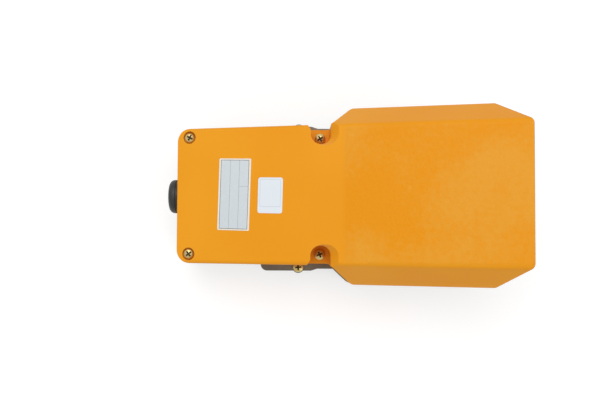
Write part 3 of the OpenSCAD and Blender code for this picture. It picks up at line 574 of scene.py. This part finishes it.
@dataclass(frozen=True)
class HoodPaint(Finish):
    """Orange powder coat: a fine orange peel, a coarse ripple along the hood's spine, and soft
    pale patches of painted sheen on that spine.
    """

    bright: Colour = srgb(236, 157, 26)
    # pale is the painted sheen colour on the hood's spine; rich is the paint between those
    # patches.
    pale: Colour = srgb(229, 156, 42)
    rich: Colour = srgb(230, 146, 4)
    worn: Colour = srgb(240, 178, 84)
    ripple_from: float = y_at(0.1226)
    spine_half: float = 0.0475
    fade: float = 0.003
    peel_scale: float = 650
    peel_deep: float = 0.00005
    ripple_scale: float = 400
    ripple_deep: float = 0.0003
    cloud_scale: float = 15
    fleck_scale: float = 260
    fleck_share: float = 0.25
    wear_width: float = 0.0012
    wear_share: float = 0.3
    edge: float = 0.0007
    gloss: float = 0.42

    def build(self, s: Surface) -> bpy.types.Material:
        """Lay the paint."""
        across, along, _ = s.parts(s.place)
        hood = (self.ripple_from - along).rise(-self.fade, self.fade)
        spine = hood * (self.spine_half - abs(across)).rise(-self.fade / 2, self.fade / 2)
        peel = s.noise(self.peel_scale, 2, 0.45)
        ripple = s.noise(self.ripple_scale)
        cloud = s.noise(self.cloud_scale)
        fleck = s.noise(self.fleck_scale)
        box_tone = s.blend(cloud.rise(0.3, 0.75), self.colour, self.bright)
        # Painted sheen: on the hood's spine, broad soft pale patches from the cloud and fleck
        # noises stand in for the gloss reflection of the paint.
        sheen_patches = (1 - self.fleck_share) * cloud + self.fleck_share * fleck
        spine_sheen_tone = s.blend(sheen_patches.rise(0.38, 0.62), self.rich, self.pale)
        tone = s.blend(spine, box_tone, spine_sheen_tone)
        rubbed = s.edge_wear(self.wear_width) * s.noise(160, 3, 0.6).rise(0.35, 0.65)
        tone = s.blend(rubbed * self.wear_share, tone, self.worn)
        fine = s.bump(peel, self.peel_deep, s.soft_edges(self.edge))
        return s.finish(
            Base_Color=tone,
            Roughness=self.gloss + 0.12 * s.noise(60),
            Normal=s.bump(ripple * spine, self.ripple_deep, fine),
            Specular_IOR_Level=0.16,
        )


@dataclass(frozen=True)
class CastEnamel(Finish):
    """Thin enamel over a sand-cast skin."""

    grain: float = 900
    depth: float = 0.00008
    gloss: float = 0.5
    pit_scale: float = 420
    wear_width: float = 0.0009
    wear_share: float = 0.4
    edge: float = 0.0008
    dust: Colour = srgb(132, 126, 114)
    worn: Colour = srgb(168, 164, 156)

    def build(self, s: Surface) -> bpy.types.Material:
        """Lay the enamel."""
        grain = s.noise(self.grain, 4, 0.6)
        pits = s.cells(self.pit_scale, 0.4)
        tone = s.blend(s.noise(30, 4, 0.6).rise(0.3, 0.75), self.colour, self.dust)
        tone = s.blend(s.edge_wear(self.wear_width) * self.wear_share, tone, self.worn)
        sand = s.bump(grain, self.depth, s.soft_edges(self.edge))
        return s.finish(
            Base_Color=s.blend(grain.rise(0.55, 0.8) * 0.3, tone, self.dust),
            Roughness=self.gloss + 0.15 * grain,
            Normal=s.bump(pits, self.depth * 0.6, sand),
        )


@dataclass(frozen=True)
class PlatedMetal(Finish):
    """Plated or bare metal, with a soft stain, fine scratches and painted shade in its recesses.
    """

    stain: Colour = (0.5, 0.5, 0.5)
    # The colour below is painted shade for the deep part of a screw's cross recess.
    grime: Colour = srgb(40, 33, 20)
    stain_share: float = 0.5
    gloss: float = 0.3
    fine: float = 0.00001
    edge: float = 0.00025

    def build(self, s: Surface) -> bpy.types.Material:
        """Lay the plating."""
        cloud = s.noise(260, 3, 0.55)
        lines = s.noise(1.0, 2, 0.5, at=s.scaled(260, 4200, 4200))
        depth = s.node("ShaderNodeAttribute", {"attribute_name": RECESS}, output="Fac")
        # Painted shade: the deeper a point lies in the cross recess, the darker its colour and the
        # less metallic and the rougher it is, standing in for the shade inside it.
        sunk = depth.rise(0.05, 0.7)
        tone = s.blend(cloud.rise(0.35, 0.7) * self.stain_share, self.colour, self.stain)
        return s.finish(
            Base_Color=s.blend(sunk * 0.9, tone, self.grime),
            Metallic=1 - 0.8 * sunk,
            Roughness=self.gloss + 0.12 * cloud + 0.06 * lines + 0.4 * sunk,
            Normal=s.bump(lines, self.fine, s.soft_edges(self.edge)),
        )


@dataclass(frozen=True)
class Moulded(Finish):
    """Moulded rubber or plastic with a fine matt skin."""

    bloom: Colour = (0.1, 0.1, 0.1)
    bloom_share: float = 0.35
    gloss: float = 0.55
    grain: float = 1600
    depth: float = 0.00003
    wear_width: float = 0.0006
    wear_share: float = 0.25
    edge: float = 0.0004

    def build(self, s: Surface) -> bpy.types.Material:
        """Lay the skin."""
        skin = s.noise(self.grain, 3, 0.6)
        haze = s.noise(70, 3, 0.6)
        tone = s.blend(haze.rise(0.4, 0.75) * self.bloom_share, self.colour, self.bloom)
        tone = s.blend(s.edge_wear(self.wear_width) * self.wear_share, tone, self.bloom)
        return s.finish(
            Base_Color=tone,
            Roughness=self.gloss + 0.14 * skin,
            Normal=s.bump(skin, self.depth, s.soft_edges(self.edge)),
        )


@dataclass(frozen=True)
class RatingFoil(Finish):
    """Silver-grey foil with a pale rim, a dark border line and empty ruled boxes."""

    half_width: float = 0.0263
    half_length: float = 0.012
    rim: float = 0.0013
    line: float = 0.00035
    row_v: float = 0.0035
    split_u: float = 0.006
    rule_half: float = 0.00012
    rule_share: float = 0.55
    ink: Colour = srgb(70, 70, 72)
    edge: Colour = srgb(236, 228, 212)
    sheen: Colour = srgb(214, 221, 225)

    def build(self, s: Surface) -> bpy.types.Material:
        """Lay the foil and its lines on the plate's own flat map, which is in metres."""
        u, v, _ = s.parts(s.node("ShaderNodeUVMap", {"uv_map": FLAT_MAP}))
        thin = self.rule_half
        inside = (self.half_width - abs(u)).least(self.half_length - abs(v))
        border = abs(inside - self.rim) < self.line / 2
        ruled = (abs(v - self.row_v) < thin).most(abs(v + self.row_v) < thin)
        ruled = ruled.most((abs(u - self.split_u) < thin) * (v < -self.row_v))
        ruled = ruled * (inside > self.rim)
        brushed = s.noise(1.0, 3, 0.6, at=s.scaled(500, 9000, 9000))
        tone = s.blend(brushed.rise(0.3, 0.7), self.colour, self.sheen)
        tone = s.blend(inside < self.rim, tone, self.edge)
        marks = border.most(ruled * self.rule_share)
        return s.finish(
            Base_Color=s.blend(marks, tone, self.ink),
            Metallic=0.2 * (1 - marks),
            Roughness=0.36 + 0.1 * brushed,
            Normal=s.bump(s.noise(180), 0.00003),
        )


@dataclass(frozen=True)
class PaperTag(Finish):
    """White paper with one faint box line near an end."""

    box_shift: float = 0.0018
    box_half_u: float = 0.0098
    box_half_v: float = 0.0077
    line_half: float = 0.0002
    line_share: float = 0.6
    faint: Colour = srgb(188, 194, 212)
    fleck: Colour = srgb(214, 220, 228)

    def build(self, s: Surface) -> bpy.types.Material:
        """Lay the paper on the plate's own flat map, which is in metres."""
        u, v, _ = s.parts(s.node("ShaderNodeUVMap", {"uv_map": FLAT_MAP}))
        box = (abs(u - self.box_shift) - self.box_half_u).most(abs(v) - self.box_half_v)
        line = abs(box) < self.line_half
        fibre = s.noise(1500, 4, 0.6)
        tone = s.blend(fibre.rise(0.3, 0.8) * 0.3, self.colour, self.fleck)
        return s.finish(
            Base_Color=s.blend(line * self.line_share, tone, self.faint),
            Roughness=0.62 + 0.1 * fibre,
            Normal=s.bump(s.noise(220), 0.00004),
        )


class Dress(Enum):
    """The finishes of the foot switch, by the record's material slots."""

    cover_paint = HoodPaint("cover_paint", srgb(233, 151, 18))
    base_paint = CastEnamel("base_paint", srgb(104, 99, 89))
    pedal_paint = CastEnamel("pedal_paint", srgb(96, 93, 86), gloss=0.46)
    rubber = Moulded("rubber", srgb(33, 33, 34), bloom=srgb(70, 70, 70), gloss=0.62)
    gland_plastic = Moulded("gland_plastic", srgb(44, 44, 43), bloom=srgb(84, 83, 80), gloss=0.42)
    yellow_zinc = PlatedMetal(
        "yellow_zinc", srgb(222, 200, 138), stain=srgb(196, 160, 92), gloss=0.3
    )
    bright_steel = PlatedMetal(
        "bright_steel", srgb(205, 206, 208), stain=srgb(160, 162, 166), gloss=0.27
    )
    spring_steel = PlatedMetal(
        "spring_steel", srgb(160, 160, 164), stain=srgb(96, 96, 102), gloss=0.32
    )
    bronze = PlatedMetal("bronze", srgb(186, 140, 84), stain=srgb(120, 82, 44), gloss=0.5)
    nylon = Moulded("nylon", srgb(226, 220, 202), bloom=srgb(240, 236, 224), gloss=0.45)
    switch_plastic = Moulded("switch_plastic", srgb(62, 48, 42), bloom=srgb(96, 80, 72), gloss=0.4)
    switch_lid = Moulded("switch_lid", srgb(36, 36, 38), bloom=srgb(70, 70, 72), gloss=0.4)
    plunger_plastic = Moulded(
        "plunger_plastic", srgb(172, 34, 24), bloom=srgb(196, 70, 56), gloss=0.3
    )
    contact_brass = PlatedMetal(
        "contact_brass", srgb(214, 180, 104), stain=srgb(158, 116, 60), gloss=0.3
    )

    @property
    def material(self) -> bpy.types.Material:
        """The finish as a material."""
        return self.value.material()


FOIL = RatingFoil("rating_foil", srgb(200, 208, 212))
PAPER = PaperTag("paper_tag", srgb(224, 231, 236))


# ---------------------------------------------------------------- sub-assemblies


@dataclass
class CadBodies:
    """The CAD nodes that keep their shape and get their finish here."""

    nodes: dict[str, bpy.types.Object]
    record: dict

    def dress(self) -> None:
        """Give every CAD node the finish of its slot."""
        for row in self.record["subparts"]:
            obj = self.nodes[row["node"]]
            finish = Dress[row["material_slot"]].material
            for holder in obj.material_slots:
                holder.material = finish
            log.info("dressed %s as %s", row["node"], row["material_slot"])


@dataclass
class PanScrews:
    """Equal pan head screws with a cross recess, standing on given seats."""

    node: str
    body: str
    dress: Dress
    seats: Sequence[Point]
    tilt: float = 0.0
    head_r: float = 0.004
    head_h: float = 0.00255
    shank_r: float = 0.002
    shank: float = 0.04
    tip: float = 0.0006
    rim: float = 0.0002
    dome_share: float = 0.55
    dome_steps: int = 8
    sides: int = 48
    recess_stand: float = 0.0004
    seed: int = 4

    def dome_at(self, radius: float) -> float:
        """Give the height of the head's dome at a distance from the axis."""
        sag = self.head_h * self.dome_share
        ball = (self.head_r**2 + sag**2) / (2 * sag)
        return self.head_h - ball + math.sqrt(max(ball**2 - radius**2, 0.0))

    def outline(self) -> list[tuple[float, float]]:
        """Draw half of the screw from its tip to the top of its dome."""
        shoulder = self.head_h * (1 - self.dome_share) - self.rim / 2
        points = [(0.0, -self.shank), (self.shank_r * 0.8, -self.shank)]
        points += [(self.shank_r, -self.shank + self.tip), (self.shank_r, 0.0)]
        points += [(self.head_r - self.rim, 0.0), (self.head_r, self.rim), (self.head_r, shoulder)]
        for i in range(1, self.dome_steps + 1):
            radius = (self.head_r - self.rim / 2) * (1 - i / self.dome_steps)
            points.append((radius, self.dome_at(radius)))
        return points

    def pattern(self) -> bpy.types.Object:
        """Make one screw with its recess cut into the head."""
        arm, width, deep = self.head_r * 1.4, self.head_r * 0.36, self.head_h * 0.75
        stand = self.recess_stand
        tools = [
            wedge(arm, width, deep + stand, self.head_h + stand, turn)
            for turn in (0.0, math.pi / 2)
        ]
        mesh = cut(lathe(self.node + "_blank", self.outline(), self.sides), tools)
        smooth(mesh)
        self.mark_recess(mesh, arm / 2, deep)
        return new_object(self.node + "_blank", mesh)

    def mark_recess(self, mesh: bpy.types.Mesh, reach: float, deep: float) -> None:
        """Note how deep each point of the recess lies, from 0 at the dome to 1.

        Args:
            mesh: The screw.
            reach: How far the recess goes from the axis.
            deep: How deep it is.
        """
        marks = mesh.attributes.new(RECESS, "FLOAT", "POINT")
        for point, mark in zip(mesh.vertices, marks.data):
            radius = math.hypot(point.co.x, point.co.y)
            below = self.dome_at(radius) - point.co.z
            inside = radius < reach * 1.05 and point.co.z > 0
            mark.value = min(1.0, max(0.0, below / deep)) if inside else 0.0

    def build(self) -> bpy.types.Object:
        """Place a screw on every seat, each turned to its own angle."""
        blank = self.pattern()
        seats = bpy.data.meshes.new(self.node + "_seats")
        seats.from_pydata([Vector(p) for p in self.seats], [], [])
        tree = Shape(self.node + "_set", screw=blank, tilt=self.tilt, seed=self.seed)
        start = tree.group.interface.new_socket(
            name="Seats", in_out="INPUT", socket_type="NodeSocketGeometry"
        )
        tree.group.interface.move(start, 0)
        one = tree.node("GeometryNodeObjectInfo", None, {"Object": tree.size("screw")}, "Geometry")
        spin = tree.node(
            "FunctionNodeRandomValue",
            {"data_type": "FLOAT"},
            {2: 0.0, 3: math.pi, "Seed": tree.size("seed")},
            output=1,
        )
        own = tree.node("FunctionNodeEulerToRotation", None, {0: tree.vector(0.0, 0.0, spin)})
        tipped = tree.vector(tree.size("tilt"), 0.0, 0.0)
        lean = tree.node("FunctionNodeEulerToRotation", None, {0: tipped})
        turned = tree.node(
            "FunctionNodeRotateRotation", {"rotation_space": "LOCAL"}, {0: lean, 1: own}
        )
        placed = tree.node(
            "GeometryNodeInstanceOnPoints",
            None,
            {"Points": tree.size("Seats"), "Instance": one, "Rotation": turned},
        )
        tree.end(placed, self.dress.material)
        made = tree.mesh(self.dress.material, seats)
        bpy.data.objects.remove(blank)
        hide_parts(self.node)
        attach(made, self.body)
        log.info("built %s, %d screws", made.name, len(self.seats))
        return made


@dataclass
class TreadMat:
    """The ribbed rubber mat on the pedal, with a hole for each screw."""

    rear: float = 0.138
    front: float = 0.219
    width: float = 0.1
    slope: float = math.radians(9.3)
    thick: float = 0.002
    corner: float = 0.008
    rib_high: float = 0.0015
    rib_wide: float = 0.003
    rib_inset: float = 0.011
    rib_sunk: float = 0.0005
    pitch: float = 0.006
    first: float = 0.0055
    screw_x: float = 0.044
    screw_d: tuple[float, float] = (0.145, 0.212)
    screw_lift: float = 0.0014
    seat_r: float = 0.0034
    plate_from: float = 0.118
    plate_high: float = 0.034
    ends_free: float = 0.004

    def height_at(self, distance: float) -> float:
        """Give the height of the pedal's plate under the mat."""
        return self.plate_high + (distance - self.plate_from) * math.tan(self.slope)

    def seat(self, x: float, distance: float, lift: float) -> Point:
        """Give a point above the plate, along the plate's own normal."""
        return (
            x,
            y_at(distance) + lift * math.sin(self.slope),
            self.height_at(distance) + lift * math.cos(self.slope),
        )

    def screw_seats(self) -> list[Point]:
        """Give the seat of each screw that holds the mat."""
        places = [(x, d) for x in (-self.screw_x, self.screw_x) for d in self.screw_d]
        return [self.seat(x, d, self.screw_lift) for x, d in places]

    def build(self) -> bpy.types.Object:
        """Make the mat from its outline and its row of ribs."""
        length = (self.front - self.rear) / math.cos(self.slope)
        count = int((length - self.ends_free) / self.pitch)
        tree = Shape(
            "tread_mat",
            width=self.width,
            length=length,
            corner=self.corner,
            thick=self.thick,
            hole=self.seat_r,
            rib_high=self.rib_high,
            rib_wide=self.rib_wide,
            rib_long=self.width - 2 * self.rib_inset,
            pitch=self.pitch,
            ribs=count,
        )
        outline = tree.round_frame(tree.size("width"), tree.size("length"), tree.size("corner"))
        middle = (self.front + self.rear) / 2
        holes = [
            tree.moved(
                tree.ring(tree.size("hole"), 32),
                (x, (middle - d) / math.cos(self.slope), 0.0),
            )
            for x in (-self.screw_x, self.screw_x)
            for d in self.screw_d
        ]
        flat = tree.node(
            "GeometryNodeFillCurve", {"mode": "NGONS"}, {"Curve": tree.join(outline, *holes)}
        )
        top = tree.node(
            "GeometryNodeExtrudeMesh", None, {"Mesh": flat, "Offset Scale": tree.size("thick")}
        )
        under = tree.node("GeometryNodeFlipFaces", None, {"Mesh": flat})
        slab = tree.node("GeometryNodeMergeByDistance", None, {"Geometry": tree.join(top, under)})
        section = tree.round_frame(
            2 * tree.size("rib_high") + 2 * self.rib_sunk, tree.size("rib_wide"), 0.0006, 4
        )
        half = tree.size("rib_long") / 2
        path = tree.node(
            "GeometryNodeCurvePrimitiveLine",
            None,
            {"Start": tree.vector(0 - half, 0.0, 0.0), "End": tree.vector(half, 0.0, 0.0)},
        )
        rib = tree.swept(path, section)
        start = length / 2 - self.first
        row = tree.node(
            "GeometryNodeMeshLine",
            None,
            {
                "Count": tree.size("ribs"),
                "Start Location": (0.0, start, self.thick - self.rib_sunk),
                "Offset": tree.vector(0.0, 0 - tree.size("pitch"), 0.0),
            },
        )
        ribs = tree.node("GeometryNodeInstanceOnPoints", None, {"Points": row, "Instance": rib})
        placed = tree.moved(
            tree.join(slab, ribs), self.seat(0.0, middle, 0.0), (-self.slope, 0.0, 0.0)
        )
        tree.end(placed, Dress.rubber.material)
        made = tree.mesh(Dress.rubber.material)
        smooth(made.data, 30)
        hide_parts("pedal_tread")
        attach(made, "pedal")
        log.info("built %s with %d ribs", made.name, count)
        return made


@dataclass
class CoilSpring:
    """The pedal's return spring, with a closed turn at each end."""

    centre_y: float = y_at(0.150)
    low: float = 0.0061
    high: float = 0.0316
    mean_r: float = 0.009
    wire_r: float = 0.001
    turns: float = 7.0
    end_rise: float = 0.00216
    turn_steps: int = 40
    wire_sides: int = 14
    keep: float = 0.67

    def build(self) -> bpy.types.Object:
        """Wind the wire and set the spring in place on the base."""
        tree = Shape(
            "coil_spring",
            mean_r=self.mean_r,
            wire_r=self.wire_r,
            turns=self.turns,
            end_rise=self.end_rise,
            tall=self.high - self.low,
        )
        coil = tree.node(
            "GeometryNodeCurveSpiral",
            None,
            {
                "Resolution": self.turn_steps,
                "Rotations": tree.size("turns"),
                "Start Radius": tree.size("mean_r"),
                "End Radius": tree.size("mean_r"),
                "Height": tree.size("tall"),
            },
        )
        share = tree.node("GeometryNodeSplineParameter", output="Factor")
        turns, rise, wire = tree.size("turns"), tree.size("end_rise"), tree.size("wire_r")
        turn = share * turns
        pitch = (tree.size("tall") - 2 * wire - 2 * rise) / (turns - 2)
        ends = turn.least(1.0) + (turn - turns + 1).most(0.0)
        height = ends * rise + (turn - 1).most(0.0).least(turns - 2) * pitch + wire
        x, y, _ = tree.parts(tree.node("GeometryNodeInputPosition"))
        wound = tree.node(
            "GeometryNodeSetPosition",
            None,
            {"Geometry": coil, "Position": tree.vector(x, y, height)},
        )
        coiled = tree.swept(wound, tree.ring(wire, self.wire_sides))
        placed = tree.moved(coiled, (0.0, self.centre_y, self.low))
        tree.end(placed, Dress.spring_steel.material)
        made = tree.mesh(Dress.spring_steel.material)
        smooth(made.data, 40)
        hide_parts("return_spring")
        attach(made, "base")
        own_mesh(made)
        log.info("built %s", made.name)
        return made


@dataclass
class FlatPlate:
    """A thin plate or tag that lies on the cover's sloping top."""

    name: str
    finish: Finish
    distance: float
    across: float
    along: float
    thick: float
    corner: float
    turn: float = 0.0
    shift: float = 0.0
    steps: int = 6

    def outline(self) -> list[tuple[float, float]]:
        """Draw the plate's outline with round corners."""
        points = []
        r = self.corner
        u, v = self.across / 2 - r, self.along / 2 - r
        for quarter, (a, b) in enumerate(((u, v), (-u, v), (-u, -v), (u, -v))):
            for i in range(self.steps + 1):
                angle = math.pi / 2 * (quarter + i / self.steps)
                points.append((a + r * math.cos(angle), b + r * math.sin(angle)))
        return points

    def build(self) -> bpy.types.Object:
        """Make the plate with a softened rim and a flat map in metres."""
        bm = bmesh.new()
        rim = self.thick * 0.4
        levels = ((0.0, 0.0), (0.0, self.thick - rim), (rim, self.thick))
        rows = []
        for inset, height in levels:
            scale_u = 1 - 2 * inset / self.across
            scale_v = 1 - 2 * inset / self.along
            ring = [(u * scale_u, v * scale_v, height) for u, v in self.outline()]
            rows.append([bm.verts.new(point) for point in ring])
        for low, high in zip(rows, rows[1:]):
            for i in range(len(low)):
                j = (i + 1) % len(low)
                bm.faces.new([low[i], low[j], high[j], high[i]])
        bm.faces.new(rows[-1])
        bm.faces.new(list(reversed(rows[0])))
        flat = bm.loops.layers.uv.new(FLAT_MAP)
        for face in bm.faces:
            for loop in face.loops:
                loop[flat].uv = loop.vert.co.xy
        mesh = kept(bm, self.name)
        place = Vector((self.shift, y_at(self.distance), top_at(self.distance)))
        lean = Matrix.Rotation(-TOP_SLOPE, 4, "X") @ Matrix.Rotation(self.turn, 4, "Z")
        mesh.transform(Matrix.Translation(place) @ lean)
        mesh.materials.append(self.finish.material())
        smooth(mesh, 30)
        made = new_object(self.name, mesh)
        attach(made, "base")
        log.info("built %s", made.name)
        return made


@dataclass(frozen=True)
class Lamp:
    """A square soft lamp that is aimed at the switch."""

    name: str
    place: Point
    power: float
    size: float = 0.9
    aim: Point = (0, 0, 0.05)

    def hang(self) -> None:
        """Hang the lamp."""
        light = bpy.data.lights.new(self.name, "AREA")
        light.shape, light.size, light.energy = "SQUARE", self.size, self.power
        hung = new_object(self.name, light)
        hung.location = self.place
        aim = Vector(self.aim) - Vector(self.place)
        hung.rotation_euler = aim.to_track_quat("-Z", "Y").to_euler()


@dataclass
class Studio:
    """A pale floor, soft lamps and the camera above the switch."""

    camera_at: Point = (-0.0261, 0.02707, 0.6002)
    looks_along: Point = (0.03749, -0.0074, -0.99927)
    picture_up: Point = (0.99928, 0.00542, 0.03745)
    lens: float = 43.06
    floor_half: float = 4.0
    sky: float = 0.7
    floor_colour: Colour = (0.5, 0.5, 0.5)
    floor_glow: float = 0.58
    lamps: tuple[Lamp, ...] = (
        Lamp("key", (0.6, 0.2, 1.3), 7.0),
        Lamp("fill", (-0.7, -1.0, 0.9), 3.0),
    )

    def floor(self) -> None:
        """Lay the floor, which the camera sees as white and which keeps the shadow."""
        mesh = bpy.data.meshes.new("floor")
        h = self.floor_half
        mesh.from_pydata([(-h, -h, 0), (h, -h, 0), (h, h, 0), (-h, h, 0)], [], [(0, 1, 2, 3)])
        floor = new_object("floor", mesh)
        s = Surface("floor")
        kinds = ("Is Camera Ray", "Is Glossy Ray", "Is Transmission Ray")
        rays = s.node("ShaderNodeLightPath").socket.node
        seen = [Value(s, rays.outputs[kind]) for kind in kinds]
        lit = s.node("ShaderNodeBsdfDiffuse", None, {"Color": self.floor_colour})
        strength = seen[0].most(seen[1]).most(seen[2]) * self.floor_glow
        glow = s.node("ShaderNodeEmission", None, {"Color": (1.0, 1.0, 1.0), "Strength": strength})
        both = s.node("ShaderNodeAddShader", None, {0: lit, 1: glow})
        s.node("ShaderNodeOutputMaterial", None, {"Surface": both})
        mesh.materials.append(s.material)

    def camera(self) -> None:
        """Set the camera over the switch."""
        lens = bpy.data.cameras.new("camera")
        lens.lens, lens.sensor_width = self.lens, 36.0
        lens.clip_start, lens.clip_end = 0.01, 100.0
        camera = new_object("camera", lens)
        back = -Vector(self.looks_along).normalized()
        right = Vector(self.picture_up).cross(back).normalized()
        up = back.cross(right)
        turn = Matrix((right, up, back)).transposed().to_4x4()
        camera.matrix_world = Matrix.Translation(self.camera_at) @ turn
        bpy.context.scene.camera = camera

    def build(self) -> None:
        """Set up the whole studio."""
        scene = bpy.context.scene
        scene.view_settings.view_transform = "Standard"
        world = bpy.data.worlds.new("studio")
        world.use_nodes = True
        background = world.node_tree.nodes["Background"]
        background.inputs["Color"].default_value = (1.0, 1.0, 1.0, 1.0)
        background.inputs["Strength"].default_value = self.sky
        scene.world = world
        self.floor()
        for lamp in self.lamps:
            lamp.hang()
        self.camera()
        log.info("built the studio")


def main() -> None:
    """Build every sub-assembly in order, then the studio."""
    logging.basicConfig(level=logging.INFO, format="%(name)s: %(message)s")
    tread = TreadMat()
    CadBodies(frame["nodes"], frame["record"]).dress()
    screw_x, rear_d, rear_sink = 0.0431, 0.009, 0.003
    front_d, front_z = 0.106, 0.053
    lock_x, lock_d, lock_z = 0.0542, 0.090, 0.022
    seats = ((rear_d, top_at(rear_d) - rear_sink), (front_d, front_z))
    PanScrews(
        "cover_screws",
        "base",
        Dress.yellow_zinc,
        [(x, y_at(d), z) for x in (-screw_x, screw_x) for d, z in seats],
    ).build()
    PanScrews(
        "shaft_lock_screws",
        "base",
        Dress.yellow_zinc,
        [(x, y_at(lock_d), lock_z) for x in (-lock_x, lock_x)],
        shank=0.004,
        seed=9,
    ).build()
    PanScrews(
        "tread_screws",
        "pedal",
        Dress.bright_steel,
        tread.screw_seats(),
        tilt=-tread.slope,
        head_r=0.0029,
        head_h=0.0016,
        shank_r=0.0015,
        shank=0.0064,
        seed=2,
    ).build()
    tread.build()
    CoilSpring().build()
    FlatPlate(
        "rating_plate",
        FOIL,
        distance=0.0433,
        across=0.0524,
        along=0.0245,
        thick=0.0003,
        corner=0.0008,
        turn=math.radians(-1.5),
        shift=0.0006,
    ).build()
    FlatPlate(
        "paper_tag",
        PAPER,
        distance=0.0698,
        across=0.0258,
        along=0.0186,
        thick=0.0002,
        corner=0.0018,
        turn=math.radians(-1.2),
        shift=-0.0003,
    ).build()
    Studio().build()


if __name__ == "__main__":
    main()
